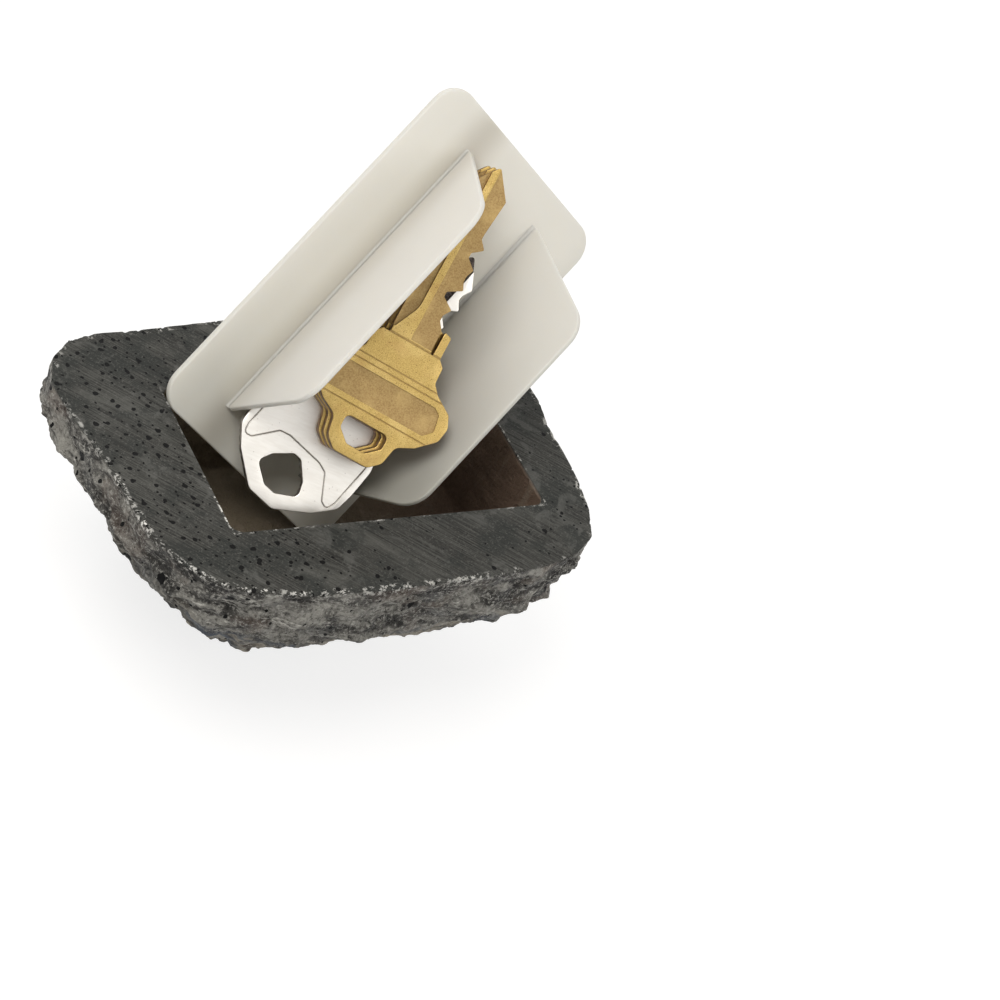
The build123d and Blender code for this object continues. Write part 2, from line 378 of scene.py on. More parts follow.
def pocket_tone(look, along):
    """Dark brown moulded pocket, redder towards one end, with paler runs down its walls."""
    runs = look.noise(look.stretched((0.30, 0.30, 0.05)), 1.0, 5.0, 0.6, 0.6)
    reddish = look.band(along, 0 * MM, 34 * MM)
    tone = look.mix(reddish, (0.200, 0.165, 0.118), (0.215, 0.150, 0.112))
    return look.mix(look.math("MULTIPLY", look.band(runs, 0.52, 0.70), 0.5), tone, (0.30, 0.25, 0.195))


def pits(look, vector, spacing, widest, share, more=0.0, dimensions="3D"):
    """1 inside scattered round pits: spacing and widest radius in mm, share of cells with one."""
    distance = look.cells(vector, 1 / spacing, "Distance", dimensions)
    parts = look.tree.nodes.new("ShaderNodeSeparateColor")
    look.put(parts.inputs["Color"], look.cells(vector, 1 / spacing, "Color", dimensions))
    chance = look.math("ADD", look.math("SUBTRACT", parts.outputs["Red"], 1.0 - share), more)
    reach = look.math("MULTIPLY", chance, 1.4 * widest / spacing / share)
    reach = look.math("MINIMUM", reach, widest / spacing)
    return look.band(look.math("SUBTRACT", reach, distance), 0.0, 0.15 * widest / spacing)


def rock_look():
    """Stone-filled resin: sawn dark base, streaky grey-brown sides, mottled crown, brown pocket."""
    look = Look("rock_resin")
    flat = look.attribute("flat")
    plain = look.stretched((1, 1, 1))
    split = look.tree.nodes.new("ShaderNodeSeparateXYZ")
    look.put(split.inputs["Vector"], look.place)
    base, marks = sawn_tone(look, plain)
    side, streaks = side_tone(look, plain)
    side = look.mix(look.attribute("crown"), side, crown_tone(look, plain))
    tone = look.mix(flat, side, base)

    rim = look.attribute("rim")
    patches = look.band(look.noise(plain, 0.13, 3.0, 0.5), 0.46, 0.60)
    near_left = look.band(look.along(Vector((-0.55, -0.83, 0.0))), 12 * MM, 30 * MM)
    patches = look.math("ADD", look.math("MULTIPLY", patches, 0.6), look.math("MULTIPLY", near_left, 0.5))
    chips = look.band(look.noise(plain, 0.8, 6.0, 0.75), 0.53, 0.56)
    chips = look.math("MULTIPLY", chips, look.math("MULTIPLY", patches, look.band(rim, 0.70, 0.86)))
    tone = look.mix(chips, tone, (0.86, 0.85, 0.81))

    crowd = look.math("MULTIPLY", look.band(split.outputs["X"], -8 * MM, -42 * MM), 0.42)
    crowd = look.math("ADD", crowd, look.math("MULTIPLY", look.band(look.noise(plain, 0.08), 0.45, 0.62), 0.16))
    jitter = look.tree.nodes.new("ShaderNodeVectorMath")
    look.put(jitter.inputs[0], plain)
    look.put(jitter.inputs[1], look.noise(plain, 0.5, 2.0, 0.5, output="Color"))
    uneven = jitter.outputs["Vector"]
    base_pits = look.math(
        "MAXIMUM", pits(look, uneven, 2.9, 0.46, 0.08, crowd, "2D"), pits(look, uneven, 1.7, 0.24, 0.14, crowd, "2D"),
    )
    ragged = look.tree.nodes.new("ShaderNodeVectorMath")
    look.put(ragged.inputs[0], look.stretched((1.0, 1.0, 0.8), (0, 0, 20)))
    look.put(ragged.inputs[1], look.noise(plain, 0.9, 3.0, 0.6, output="Color"))
    wavy = ragged.outputs["Vector"]
    side_pits = look.math("MAXIMUM", pits(look, wavy, 3.4, 0.95, 0.30), pits(look, wavy, 1.5, 0.42, 0.34))
    side_share = look.math("SUBTRACT", 1.0, flat)
    dark = look.math(
        "ADD", look.math("MULTIPLY", base_pits, flat), look.math("MULTIPLY", side_pits, side_share),
    )
    tone = look.mix(dark, tone, (0.004, 0.004, 0.004))
    tone = look.mix(look.attribute("pocket"), tone, pocket_tone(look, split.outputs["X"]))

    grain = look.noise(plain, 1.8, 5.0, 0.65)
    height = look.math("ADD", look.math("MULTIPLY", streaks, 0.9), look.math("MULTIPLY", grain, 0.45))
    relief = look.bump(look.math("MULTIPLY", height, side_share), 1.3, 0.85)
    relief = look.bump(look.math("MULTIPLY", marks, flat), 0.20, 0.6, relief)
    relief = look.bump(dark, -0.5, 0.9, relief)
    wet = look.band(look.noise(plain, 0.30, 5.0, 0.6), 0.42, 0.62)
    wet = look.math("MULTIPLY", wet, look.math("MULTIPLY", side_share, 0.24))
    look.set(
        Base_Color=tone, Roughness=look.math("SUBTRACT", 0.68, wet), Normal=relief, Specular_IOR_Level=0.14,
    )
    return look.material


def holder_look(name, tint, shade_tint, fold=None):
    """Milky polyethylene, with painted shade towards the end in the pocket and, softly, along a fold.

    A fold is a point on its line, the direction across it, and how wide and how strong its painted shade shows.
    """
    look = Look(name)
    plain = look.stretched((1, 1, 1))
    clouds = look.noise(plain, 0.05, 3.0, 0.5)
    split = look.tree.nodes.new("ShaderNodeSeparateXYZ")
    look.put(split.inputs["Vector"], look.place)
    # Painted shade: towards low z, the end that sits in the pocket, the colour turns to shade_tint.
    low = look.band(look.math("ADD", split.outputs["Z"], look.math("MULTIPLY", clouds, 6 * MM)), 78 * MM, 44 * MM)
    tone = look.mix(low, tint, shade_tint)
    if fold:
        point, across, width, strength = fold
        # Painted shade: darker within the given width on either side of the fold line.
        away = look.math("ABSOLUTE", look.math("SUBTRACT", look.along(across), point.dot(across)))
        painted_fold_shade = look.math("MULTIPLY", look.band(away, width * MM, 0.0), strength)
        tone = look.mix(painted_fold_shade, tone, PAINTED_FOLD_SHADE)
    look.set(
        Base_Color=tone,
        Roughness=look.math("ADD", 0.40, look.math("MULTIPLY", look.noise(plain, 0.4, 3.0, 0.5), 0.12)),
        Normal=look.bump(look.noise(plain, 0.35, 3.0, 0.5), 0.10, 0.25),
        Subsurface_Weight=0.45,
        Subsurface_Radius=(1.0, 0.92, 0.80),
        Subsurface_Scale=2.2 * MM,
        Specular_IOR_Level=0.38,
    )
    return look.material


def brass_look():
    """Worn yellow brass with a sparkling grain, browner where it is tarnished."""
    look = Look("key_brass")
    plain = look.stretched((1, 1, 1))
    grain = look.noise(plain, 8.0, 3.0, 0.7)
    tarnish = look.noise(plain, 0.30, 5.0, 0.6, 0.5)
    worn = look.noise(plain, 0.22, 4.0, 0.55, 0.3)
    tone = look.mix(look.band(grain, 0.32, 0.68), (0.36, 0.235, 0.068), (0.60, 0.430, 0.150))
    tone = look.mix(look.math("MULTIPLY", look.band(worn, 0.42, 0.70), 0.30), tone, (0.80, 0.60, 0.25))
    tone = look.mix(look.math("MULTIPLY", look.band(tarnish, 0.50, 0.70), 0.45), tone, (0.45, 0.28, 0.10))
    specks = look.band(look.cells(plain, 1.5), 0.20, 0.08)
    tone = look.mix(look.math("MULTIPLY", specks, 0.6), tone, (0.10, 0.05, 0.02))
    look.set(
        Base_Color=tone,
        Metallic=0.85,
        Roughness=look.math("ADD", 0.20, look.math("MULTIPLY", grain, 0.20)),
        Normal=look.bump(grain, 0.06, 0.6),
    )
    return look.material


def brass_side_painted_shade_look():
    """Sides of the stacked brass keys, painted dark in streaks as painted shade."""
    look = Look("key_brass_side_painted_shade")
    layers = look.noise(look.stretched((0.4, 0.4, 2.4)), 1.0, 4.0, 0.6)
    look.set(
        # Painted shade: the sides are much darker than the brass tops.
        Base_Color=look.mix(look.band(layers, 0.38, 0.62), (0.045, 0.018, 0.006), (0.30, 0.15, 0.045)),
        Metallic=0.85,
        Roughness=0.42,
        Normal=look.bump(layers, 0.03, 0.3),
    )
    return look.material


def brass_recess_look():
    """Brown tarnish that stays in the milled grooves and the sunk panel."""
    look = Look("key_brass_recess")
    plain = look.stretched((1, 1, 1))
    grain = look.noise(plain, 3.5, 4.0, 0.7)
    worn = look.noise(plain, 0.28, 4.0, 0.55, 0.3)
    tone = look.mix(look.band(grain, 0.32, 0.68), (0.27, 0.170, 0.066), (0.39, 0.270, 0.115))
    tone = look.mix(look.math("MULTIPLY", look.band(worn, 0.42, 0.70), 0.35), tone, (0.58, 0.42, 0.175))
    look.set(
        Base_Color=tone,
        Metallic=0.85,
        Roughness=0.46,
        Normal=look.bump(grain, 0.10, 0.5),
    )
    return look.material


def nickel_look():
    """Warm white nickel plate, satin, with faint handling marks."""
    look = Look("key_nickel")
    plain = look.stretched((1, 1, 1))
    brushed = look.noise(look.stretched((0.3, 2.5, 0.3), (0, 0, 30)), 1.0, 4.0, 0.6)
    marks = look.band(look.cells(plain, 0.9), 0.12, 0.05)
    tone = look.mix(look.band(brushed, 0.35, 0.65), (0.87, 0.835, 0.775), (0.92, 0.89, 0.835))
    tone = look.mix(look.math("MULTIPLY", marks, 0.5), tone, (0.40, 0.34, 0.30))
    look.set(
        Base_Color=tone,
        Metallic=0.70,
        Roughness=look.math("ADD", 0.30, look.math("MULTIPLY", brushed, 0.12)),
        Normal=look.bump(brushed, 0.04, 0.3),
    )
    return look.material


def nickel_side_painted_shade_look():
    """Edge of the plated key, painted darker than its top as painted shade, uneven by noise."""
    look = Look("key_nickel_side_painted_shade")
    worn = look.noise(look.stretched((0.5, 0.5, 1.5)), 1.0, 4.0, 0.6)
    look.set(
        # Painted shade: the side tones stay well below the nickel top.
        Base_Color=look.mix(look.band(worn, 0.4, 0.62), (0.14, 0.12, 0.10), (0.62, 0.58, 0.54)),
        Metallic=0.8,
        Roughness=0.4,
    )
    return look.material


def nickel_groove_look():
    """Blackened engraving and milled groove of the plated key."""
    look = Look("key_nickel_groove")
    grain = look.noise(look.stretched((1, 1, 1)), 2.0, 3.0, 0.6)
    look.set(
        Base_Color=look.mix(look.band(grain, 0.4, 0.6), (0.030, 0.022, 0.018), (0.10, 0.08, 0.07)),
        Metallic=0.6,
        Roughness=0.5,
    )
    return look.material


# ------------------------------------------------------------------ rock

def smooth_step(low, high, value):
    """0 at low, 1 at high, smooth between. Low may be the larger of the two."""
    share = min(max((value - low) / (high - low), 0.0), 1.0)
    return share * share * (3 - 2 * share)


def in_pocket(x, y, z, margin):
    inside = abs(x) < POCKET_HALF_LENGTH + margin and abs(y) < POCKET_HALF_WIDTH + margin
    return inside and z > POCKET_FLOOR_Z - 1


def stone_relief(point):
    """Height of the cast stone surface over its plain shape, in millimetres."""
    lumps = 0.7 * noise.fractal(point * 0.07, 1.0, 2.0, 3)
    bent = point + 5.0 * noise.noise_vector(point * 0.05)
    slanted = Vector((bent.x * 0.09, bent.y * 0.09, bent.z * 0.17 + bent.x * 0.03))
    folds = 1.1 * (noise.ridged_multi_fractal(slanted, 0.9, 2.1, 4, 0.9, 2.0) - 1.1)
    hollows = 1.8 * max(0.0, noise.noise(point * 0.21) - 0.10)
    fine = 0.30 * noise.fractal(point * 0.65, 0.8, 2.0, 4)
    return lumps + folds - hollows + fine - 0.35


def rock():
    node = frame["nodes"]["rock_body"]
    stone = add_object("rock", node.data.copy())
    merge_close(stone.data, 1e-5)
    remesh = stone.modifiers.new("remesh", "REMESH")
    remesh.mode = "VOXEL"
    remesh.voxel_size = ROCK_VOXEL * MM
    settle(stone)
    mesh = stone.data
    places = [vertex.co / MM for vertex in mesh.vertices]
    normals = [vertex.normal.copy() for vertex in mesh.vertices]

    rim_points = [
        place for place, normal in zip(places, normals)
        if place.z > BASE_Z - 0.9 and 0.2 < normal.z < 0.93
        and not in_pocket(place.x, place.y, place.z, 1.5)
    ]
    rim_tree = kdtree.KDTree(len(rim_points))
    for index, place in enumerate(rim_points):
        rim_tree.insert(place, index)
    rim_tree.balance()

    masks = {"flat": [], "pocket": [], "rim": [], "crown": [], "relief": []}
    for vertex, place, normal in zip(mesh.vertices, places, normals):
        pocket = in_pocket(place.x, place.y, place.z, 0.3) and place.z < BASE_Z - 0.4
        rim_distance = rim_tree.find(place)[2]
        below = BASE_Z - place.z
        chip = max(0.0, noise.noise(place * 0.45) + 0.5 * noise.noise(place * 1.4) - 0.22)
        on_base = below < 0.75 * ROCK_VOXEL and not pocket
        if pocket:
            moved = place + normal * 0.22 * noise.fractal(place * 0.3, 1.0, 2.0, 3)
        elif on_base:
            moved = Vector((place.x, place.y, BASE_Z))
            if rim_distance < 1.2:
                moved.z -= 0.9 * chip * (1.2 - rim_distance)
        else:
            outward = Vector((normal.x, normal.y, min(normal.z, 0.0)))
            fade = smooth_step(0.5, 6.5, below) * smooth_step(0.0, 4.0, place.z)
            moved = place + outward * stone_relief(place) * fade
            moved -= outward * 1.2 * chip * (1 - smooth_step(0.0, 3.0, below))
        moved.z = max(moved.z, 0.0)
        vertex.co = moved * MM
        # Relief height for the side colour, which paints shade in its hollows and a highlight on its raised parts.
        masks["relief"].append(smooth_step(-2.2, 1.2, stone_relief(place)))
        masks["pocket"].append(1.0 if pocket else 0.0)
        masks["flat"].append(1.0 if on_base else 0.0)
        mouth_distance = max(abs(place.x) - POCKET_HALF_LENGTH, abs(place.y) - POCKET_HALF_WIDTH)
        near_mouth = 0.92 - max(mouth_distance, 0.0) / 2.2 if on_base else 0.0
        masks["rim"].append(max(0.0, 1.0 - rim_distance / 3.5, near_mouth))
        masks["crown"].append(smooth_step(0.30, 0.75, -normal.z) * smooth_step(40, 26, place.z))
    for name, values in masks.items():
        layer = mesh.attributes.new(name, "FLOAT", "POINT")
        layer.data.foreach_set("value", values)
    shade(mesh, 75)
    mesh.materials.clear()
    mesh.materials.append(rock_look())
    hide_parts("rock_body")
    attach(stone, "rock")


# ------------------------------------------------------------------ holder

def holder_matrix():
    """Middle plane of the plate from the two wing hinges: x along it, y to the upper wing, z front."""
    hinges = {joint["name"]: joint for joint in frame["joints"]}
    upper = Vector(hinges["upper_wing_flex"]["pos_m"])
    lower = Vector(hinges["lower_wing_flex"]["pos_m"])
    along = Vector(hinges["lower_wing_flex"]["axis"]).normalized()
    across = (upper - lower).normalized()
    front = along.cross(across)
    origin = (upper + lower) / 2 - front * (PLATE_THICKNESS + ROOT_GAP) / 2 * MM
    turn = Matrix((along, across, front)).transposed().to_4x4()
    return Matrix.Translation(origin) @ turn, (upper - lower).length / MM


def holder_plate(holder, spacing):
    half_length = PLATE_LENGTH / 2
    half_width = PLATE_WIDTH / 2
    corners = [
        (-half_length, -half_width), (half_length, -half_width),
        (half_length, half_width), (-half_length, half_width),
    ]
    outline = rounded(corners, PLATE_CORNER, 12)
    plate = slab("holder_back", [outline], PLATE_THICKNESS, PLATE_ROUND, -PLATE_THICKNESS / 2)
    plate.data.transform(holder)
    shade(plate.data, 40)
    across = holder.to_3x3() @ Vector((0, 1, 0))
    # Painted shade beside the upper wing's root: a point on that line, the direction across it, its width and
    # strength.
    fold = (holder @ Vector((0, spacing / 2 * MM, 0)), across, 6.0, 0.55)
    # The second colour is the painted shade towards the end in the pocket.
    skin = holder_look("holder_milky", (0.80, 0.785, 0.735), (0.73, 0.72, 0.66), fold)
    plate.data.materials.append(skin)
    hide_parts("holder_plate")
    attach(plate, "holder")


def root_fillet(name, fillets, steps=10):
    """Concave strips where a wing grows out of the plate. Fillets: side of the wing to radius."""
    shape = bmesh.new()
    skin = WING_THICKNESS / 2
    for face, radius in fillets.items():
        profile = [(face * (skin - 0.3), -0.4), (face * (skin + radius + 0.6), -0.4)]
        for step in range(steps + 1):
            angle = pi / 2 * step / steps
            profile.append((
                face * (skin - 0.02 + radius * (1 - sin(angle))), -0.02 + radius * (1 - cos(angle)),
            ))
        profile.append((face * (skin - 0.3), radius))
        rings = []
        for end in (-1, 1):
            reach = end * (WING_ROOT_LENGTH / 2 - 0.3)
            rings.append([shape.verts.new((reach * MM, y * MM, z * MM)) for y, z in profile])
        count = len(profile)
        for index in range(count):
            following = (index + 1) % count
            shape.faces.new((
                rings[0][index], rings[0][following], rings[1][following], rings[1][index],
            ))
        shape.faces.new(rings[0])
        shape.faces.new(rings[1])
    bmesh.ops.recalc_face_normals(shape, faces=shape.faces)
    mesh = bpy.data.meshes.new(name)
    shape.to_mesh(mesh)
    shape.free()
    return mesh


def join(thing, mesh):
    shape = bmesh.new()
    shape.from_mesh(thing.data)
    shape.from_mesh(mesh)
    shape.to_mesh(thing.data)
    shape.free()
    bpy.data.meshes.remove(mesh)


def wing(name, node, body, side, fillets, holder, spacing, tint_and_painted_shade):
    splay = SPLAY[node]
    half_root = WING_ROOT_LENGTH / 2
    half_edge = WING_EDGE_LENGTH / 2
    corners = [
        (-half_root, -0.1, 0.8), (half_root, -0.1, 0.8),
        (WING_EDGE_SHIFT + half_edge, WING_HEIGHT, WING_CORNER),
        (WING_EDGE_SHIFT - half_edge, WING_HEIGHT, WING_CORNER),
    ]
    outline = rounded(corners, 0.0, 12)
    flap = slab(name, [outline], WING_THICKNESS, WING_ROUND, -WING_THICKNESS / 2)
    root_z = PLATE_THICKNESS / 2 + ROOT_GAP + WING_THICKNESS / 2 * sin(radians(splay))
    stand = Matrix.Rotation(radians(90 - side * splay), 4, "X")
    root = Matrix.Translation((0, side * spacing / 2 * MM, root_z * MM))
    flap.data.transform(root @ stand)
    fillet = root_fillet(name + "_root", fillets)
    foot = Matrix.Translation((0, side * spacing / 2 * MM, PLATE_THICKNESS / 2 * MM))
    lean = Matrix.Shear("XY", 4, (0, 0))
    lean[1][2] = side * tan(radians(splay))
    fillet.transform(foot @ lean)
    join(flap, fillet)
    flap.data.transform(holder)
    shade(flap.data, 40)
    upright = holder.to_3x3() @ Vector((0, side * sin(radians(splay)), cos(radians(splay))))
    # Painted shade along this wing's root, stronger on the upper wing.
    fold = (holder @ foot @ Vector((0, 0, 0)), upright, 9.0, 0.40 if side > 0 else 0.12)
    flap.data.materials.append(holder_look(name + "_milky", *tint_and_painted_shade, fold))
    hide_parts(node)
    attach(flap, body)


# ------------------------------------------------------------------ keys

def stack_matrix(holder):
    """Plane of the keys: origin at the nickel key's bow end, x along it, z towards the viewer."""
    roll = radians(STACK_ROLL)
    dip = radians(STACK_DIP)
    normal = Vector((sin(dip), sin(roll) * cos(dip), cos(roll) * cos(dip)))
    along = (Vector((1, 0, 0)) - normal * normal.x).normalized()
    turn = Matrix((along, normal.cross(along), normal)).transposed().to_4x4()
    origin = Vector((
        -PLATE_LENGTH / 2 - NICKEL_OVERHANG, -STACK_SIDE, PLATE_THICKNESS / 2 + STACK_HEIGHT,
    ))
    return holder @ Matrix.Translation(origin * MM) @ turn


def mirrored(side):
    """Closed outline from the points of its left half, from the bow end to the neck."""
    other = [(point[0], -point[1], *point[2:]) for point in reversed(side)]
    return side + other


def bitting(start, right):
    """Cut edge of a blade from the shoulder to the tip and back along its plain edge."""
    left = right - BLADE_WIDTH
    points = []
    for index, depth in enumerate(BLADE_CUT_DEPTHS):
        middle = start + FIRST_CUT + index * CUT_PITCH
        points.append((middle - CUT_PITCH / 2, -(right - 0.1 * depth), 0.3))
        points.append((middle - CUT_PITCH / 8, -(right - depth), 0.3))
        points.append((middle + CUT_PITCH / 8, -(right - depth), 0.3))
    points.append((KEY_LENGTH - 0.6 * BLADE_WIDTH, -(right - 0.1 * BLADE_WIDTH), 0.5))
    points.append((KEY_LENGTH, -(right - 0.55 * BLADE_WIDTH), 0.5))
    points.append((KEY_LENGTH - 0.62 * BLADE_WIDTH, -left, 0.5))
    points.append((start, -left, 0))
    return points


def dress_key(key, normal, top_height, skin, painted_shade_side_skin, groove_skin):
    """Gives faces their material: sides by direction, and what lies below the top as groove."""
    mesh = key.data
    mesh.materials.clear()
    for material in (skin, painted_shade_side_skin, groove_skin):
        mesh.materials.append(material)
    for polygon in mesh.polygons:
        facing = polygon.normal.z
        if abs(facing) < 0.35:
            # Side faces take the side material, which holds painted shade.
            polygon.material_index = 1
        elif facing > 0 and polygon.center.z < (top_height - 0.05) * MM and abs(facing) > 0.9:
            polygon.material_index = 2
        else:
            polygon.material_index = 0
    mesh.transform(normal)
    shade(mesh, 32)


def brass_key(name):
    half = BRASS_BOW_WIDTH / 2
    neck = BRASS_NECK_WIDTH / 2
    length = BRASS_BOW_LENGTH
    right = neck - NUB_WIDTH - NUB_SLOT
    side = [
        (0.00 * length, 0.26 * half, 1.5), (0.08 * length, 0.42 * half, 2.0),
        (0.24 * length, 0.48 * half, 1.5), (0.31 * length, 0.72 * half, 1.5),
        (0.44 * length, 0.96 * half, 1.5), (0.56 * length, 1.00 * half, 1.5),
        (0.66 * length, 0.92 * half, 1.2), (0.75 * length, 0.66 * half, 1.2),
        (0.82 * length, 1.22 * neck, 0.8), (0.95 * length, 1.20 * neck, 0.6),
        (length, neck, 0.3),
    ]
    outline = [(point[0], point[1], point[2]) for point in side]
    blade = bitting(length, right)
    left_shoulder = blade.pop()
    outline.append((left_shoulder[0], left_shoulder[1], 0.2))
    outline += list(reversed(blade))
    outline += [
        (length, -right, 0.1), (length, -(neck - NUB_WIDTH), 0.1),
        (length + NUB_LENGTH, -(neck - NUB_WIDTH), 0.3), (length + 0.9 * NUB_LENGTH, -neck, 0.4),
    ]
    outline += [(point[0], -point[1], point[2]) for point in reversed(side)]
    hole = [
        (0.09 * length, 0.14 * half), (0.09 * length, -0.14 * half), (0.18 * length, -0.32 * half),
        (0.29 * length, -0.32 * half), (0.29 * length, 0.32 * half), (0.18 * length, 0.32 * half),
    ]
    key = slab(name, [rounded(outline, 0.3, 4), rounded(hole, 1.0, 5)], KEY_THICKNESS, KEY_ROUND)
    return key, length, half, neck, right


def brass_key_top_cuts(length, half, neck, right):
    """What is milled or pressed into the top: panel, collar line, bands and both blade grooves."""
    top = KEY_THICKNESS
    panel = [
        (0.42 * length, 0.80 * half), (0.42 * length, -0.72 * half), (0.49 * length, -0.84 * half),
        (0.62 * length, -0.80 * half), (0.66 * length, -0.70 * half), (0.66 * length, 0.66 * half),
        (0.54 * length, 0.86 * half),
    ]
    past_tip = KEY_LENGTH + 2
    left = -(right - BLADE_WIDTH)
    ridge_left = left - 2.6
    ridge_right = left - 3.9
    wide = [
        (length + 1.2, left - 0.3, 0.2), (length + 6.0, ridge_left, 5.0),
        (past_tip, ridge_left, 0), (past_tip, left + 1, 0), (length + 1.6, left + 1, 0),
    ]
    cut_side = [
        (length + 0.5, ridge_right, 0.2), (past_tip, ridge_right, 0),
        (past_tip, -right - 1, 0), (length + 0.5, -right - 0.4, 0.2),
    ]
    cuts = [
        slab("panel_cut", [rounded(panel, 0.6, 4)], 1.0, 0.02, top - 0.28),
        slab("wide_cut", [rounded(wide, 0.5, 8)], 1.0, 0.02, top - 0.60),
        slab("side_cut", [rounded(cut_side, 0.2, 4)], 1.0, 0.02, top - 0.40),
        tube("collar_cut", [(length + 0.1, neck + 3), (length + 0.1, -neck - 3)], 0.22, top + 0.05, False),
    ]
    for share in BAND_SHARES:
        ends = [(share * length, half + 2), (share * length, -half - 2)]
        cuts.append(tube("band_cut", ends, 0.15, top + 0.04, False))
    return cuts


def brass_stack(stack):
    pitch = KEY_THICKNESS + KEY_GAP
    skin = brass_look()
    painted_shade_side_skin = brass_side_painted_shade_look()
    recess_skin = brass_recess_look()
    layers = (
        ("brass_bottom", "brass_key_bottom", "bottom_key_body"),
        ("brass_middle", "brass_key_middle", "middle_key_body"),
        ("brass_top", "brass_key_top", "top_key_body"),
    )
    for level, (name, node, body) in enumerate(layers, start=1):
        key, length, half, neck, right = brass_key(name)
        carve(key, brass_key_top_cuts(length, half, neck, right))
        aside = -BRASS_ASIDE + BRASS_FAN * (len(layers) - level)
        shift = Matrix.Translation(Vector((BRASS_AHEAD, aside, level * pitch)) * MM)
        place = stack @ shift @ Matrix.Rotation(radians(BRASS_TURN), 4, "Z")
        dress_key(key, place, KEY_THICKNESS, skin, painted_shade_side_skin, recess_skin)
        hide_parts(node)
        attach(key, body)


def nickel_key(stack):
    half = NICKEL_BOW_WIDTH / 2
    length = NICKEL_BOW_LENGTH
    right = BLADE_WIDTH / 2
    side = [
        (0.00 * length, 0.23 * half, 2.0), (0.15 * length, 0.72 * half, 2.5),
        (0.28 * length, 0.98 * half, 2.5), (0.40 * length, 1.00 * half, 2.5),
        (0.60 * length, 0.98 * half, 2.5), (0.76 * length, 0.84 * half, 3.0),
        (length, right, 1.5),
    ]
    outline = list(side)
    blade = bitting(length, right)
    blade.pop()
    outline += list(reversed(blade))
    outline += [(point[0], -point[1], point[2]) for point in reversed(side)]
    hole = [
        (0.085 * length, 0.10 * half), (0.085 * length, -0.10 * half), (0.17 * length, -0.41 * half),
        (0.26 * length, -0.31 * half), (0.355 * length, -0.07 * half), (0.355 * length, 0.07 * half),
        (0.26 * length, 0.31 * half), (0.17 * length, 0.41 * half),
    ]
    key = slab("nickel", [rounded(outline, 0.3, 5), rounded(hole, 1.1, 5)], KEY_THICKNESS, KEY_ROUND)
    engraved = mirrored([
        (0.42 * length, 0.30 * half, 0.4), (0.40 * length, 0.46 * half, 1.0),
        (0.25 * length, 0.72 * half, 0.8), (0.235 * length, 0.84 * half, 0.8),
        (0.30 * length, 0.885 * half, 0.8), (0.60 * length, 0.875 * half, 2.0),
        (0.74 * length, 0.74 * half, 2.0), (0.90 * length, 0.40 * half, 1.5),
    ])
    top = KEY_THICKNESS
    line = tube("engraved_cut", rounded(engraved, 0.8, 6), 0.17, top + 0.02)
    groove = [
        (length + 2, 1.2), (length + 2, -1.2), (KEY_LENGTH + 2, -1.2), (KEY_LENGTH + 2, 1.2),
    ]
    milled = slab("milled_cut", [rounded(groove, 0.4, 4)], 1.0, 0.02, top - 0.6)
    carve(key, [line, milled])
    place = stack @ Matrix.Translation((0, NICKEL_ASIDE * MM, 0))
    dress_key(key, place, top, nickel_look(), nickel_side_painted_shade_look(), nickel_groove_look())
    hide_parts("nickel_key")
    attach(key, "nickel_key_body")


# ------------------------------------------------------------------ stage

def camera():
    data = bpy.data.cameras.new("camera")
    data.lens = CAMERA_LENS
    data.sensor_width = SENSOR
    data.sensor_fit = "HORIZONTAL"
    data.clip_start = 0.01
    data.clip_end = 10
    thing = bpy.data.objects.new("camera", data)
    bpy.context.scene.collection.objects.link(thing)
    look = CAMERA_LOOK.normalized()
    right = look.cross(CAMERA_UP).normalized()
    up = right.cross(look)
    turn = Matrix((right, up, -look)).transposed().to_4x4()
    thing.matrix_world = Matrix.Translation(CAMERA_PLACE) @ turn
    bpy.context.scene.camera = thing


def area_light(name, place, target, size, watts, tint):
    data = bpy.data.lights.new(name, "AREA")
    data.shape = "DISK"
    data.size = size
    data.energy = watts
    data.color = tint
    thing = bpy.data.objects.new(name, data)
    bpy.context.scene.collection.objects.link(thing)
    thing.location = place
    thing.rotation_euler = (Vector(target) - Vector(place)).to_track_quat("-Z", "Y").to_euler()


def seen_directly(tree):
    """1 for camera, glossy and transmission rays: what they meet behind the object is the backdrop."""
    path = tree.nodes.new("ShaderNodeLightPath")
    total = path.outputs["Is Camera Ray"]
    for kind in ("Is Glossy Ray", "Is Transmission Ray"):
        larger = tree.nodes.new("ShaderNodeMath")
        larger.operation = "MAXIMUM"
        tree.links.new(total, larger.inputs[0])
        tree.links.new(path.outputs[kind], larger.inputs[1])
        total = larger.outputs[0]
    return total


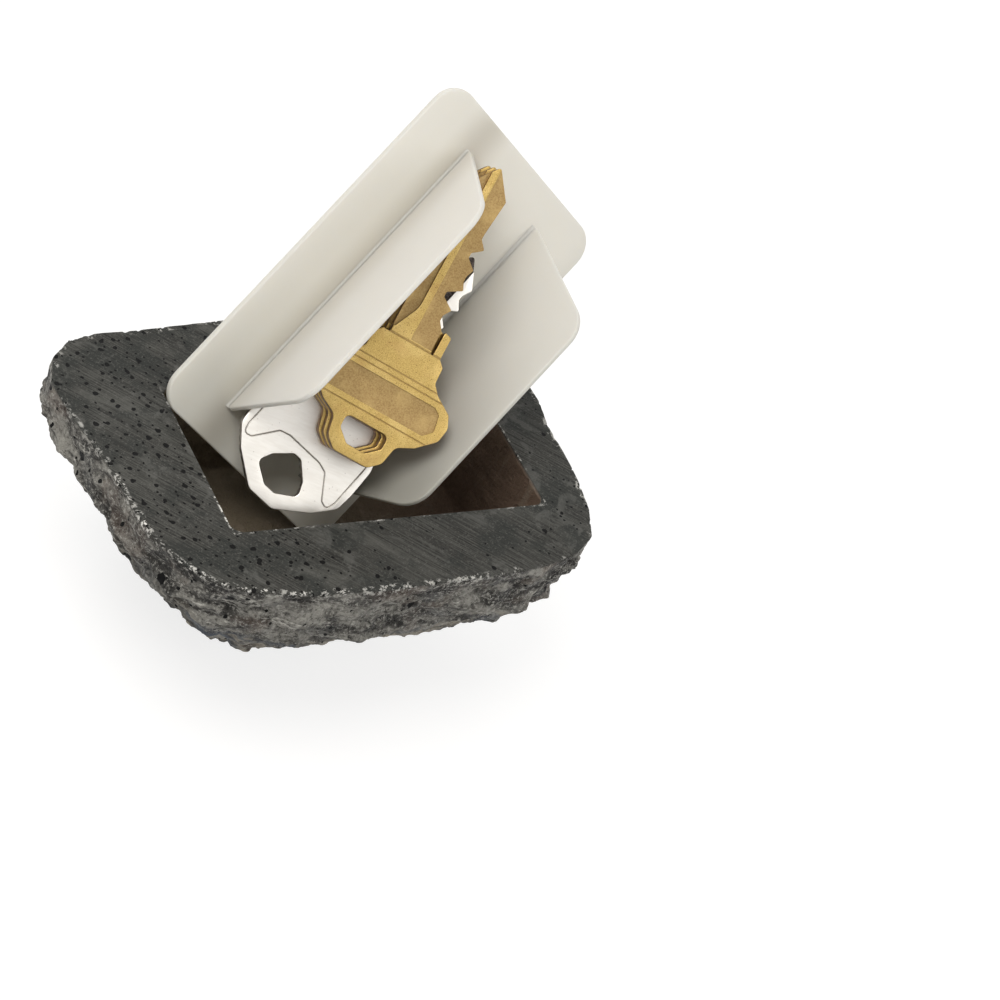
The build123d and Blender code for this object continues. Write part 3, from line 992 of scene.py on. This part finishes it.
def floor():
    """Pale floor that looks near white and keeps a soft shadow of the object."""
    mesh = bpy.data.meshes.new("floor")
    corners = [(x * FLOOR_REACH, y * FLOOR_REACH, 0) for x, y in ((-1, -1), (1, -1), (1, 1), (-1, 1))]
    mesh.from_pydata(corners, [], [(0, 1, 2, 3)])
    thing = add_object("floor", mesh)
    material = bpy.data.materials.new("floor_white")
    material.use_nodes = True
    tree = material.node_tree
    paper = tree.nodes["Principled BSDF"]
    paper.inputs["Base Color"].default_value = (0.85, 0.85, 0.85, 1)
    paper.inputs["Roughness"].default_value = 0.9
    shadow = tree.nodes.new("ShaderNodeBsdfDiffuse")
    shadow.inputs["Color"].default_value = (0.34, 0.34, 0.34, 1)
    white = tree.nodes.new("ShaderNodeEmission")
    white.inputs["Color"].default_value = (1, 1, 1, 1)
    distance = tree.nodes.new("ShaderNodeVectorMath")
    distance.operation = "LENGTH"
    tree.links.new(tree.nodes.new("ShaderNodeTexCoord").outputs["Object"], distance.inputs[0])
    glow = tree.nodes.new("ShaderNodeMapRange")
    tree.links.new(distance.outputs["Value"], glow.inputs["Value"])
    for name, value in (("From Min", 0.15), ("From Max", 0.7), ("To Min", 0.78), ("To Max", 1.0)):
        glow.inputs[name].default_value = value
    tree.links.new(glow.outputs["Result"], white.inputs["Strength"])
    backdrop = tree.nodes.new("ShaderNodeAddShader")
    tree.links.new(shadow.outputs[0], backdrop.inputs[0])
    tree.links.new(white.outputs[0], backdrop.inputs[1])
    choice = tree.nodes.new("ShaderNodeMixShader")
    tree.links.new(seen_directly(tree), choice.inputs[0])
    tree.links.new(paper.outputs[0], choice.inputs[1])
    tree.links.new(backdrop.outputs[0], choice.inputs[2])
    tree.links.new(choice.outputs[0], tree.nodes["Material Output"].inputs["Surface"])
    mesh.materials.append(material)


def surroundings():
    world = bpy.data.worlds.new("studio")
    bpy.context.scene.world = world
    world.use_nodes = True
    tree = world.node_tree
    soft = tree.nodes["Background"]
    soft.inputs["Color"].default_value = (1.0, 0.985, 0.955, 1)
    soft.inputs["Strength"].default_value = 0.36
    white = tree.nodes.new("ShaderNodeBackground")
    white.inputs["Color"].default_value = (1, 1, 1, 1)
    choice = tree.nodes.new("ShaderNodeMixShader")
    tree.links.new(seen_directly(tree), choice.inputs[0])
    tree.links.new(soft.outputs[0], choice.inputs[1])
    tree.links.new(white.outputs[0], choice.inputs[2])
    tree.links.new(choice.outputs[0], tree.nodes["World Output"].inputs["Surface"])


def stage():
    camera()
    floor()
    surroundings()
    middle = (0.0, 0.0, 0.05)
    area_light("key_light", (-0.40, -0.10, 0.85), middle, 0.5, 4.2, (1.0, 0.97, 0.92))
    area_light("fill_light", (0.45, -0.60, 0.45), middle, 0.7, 1.6, (1.0, 0.98, 0.94))
    area_light("back_light", (0.1, 0.7, 0.6), middle, 0.5, 1.4, (1.0, 0.98, 0.95))
    bpy.context.scene.view_settings.view_transform = "Standard"


def main():
    holder, spacing = holder_matrix()
    rock()
    holder_plate(holder, spacing)
    fillets = {1: SEEN_FILLET, -1: HIDDEN_FILLET}
    # Each wing's own tint, then its painted shade tint towards the end in the pocket.
    upper_tint_and_painted_shade = ((0.80, 0.78, 0.735), (0.77, 0.755, 0.715))
    lower_tint_and_painted_shade = ((0.74, 0.73, 0.69), (0.36, 0.355, 0.315))
    wing("wing_upper", "upper_wing", "upper_wing_body", 1, fillets, holder, spacing, upper_tint_and_painted_shade)
    wing("wing_lower", "lower_wing", "lower_wing_body", -1, fillets, holder, spacing, lower_tint_and_painted_shade)
    stack = stack_matrix(holder)
    nickel_key(stack)
    brass_stack(stack)
    stage()


main()
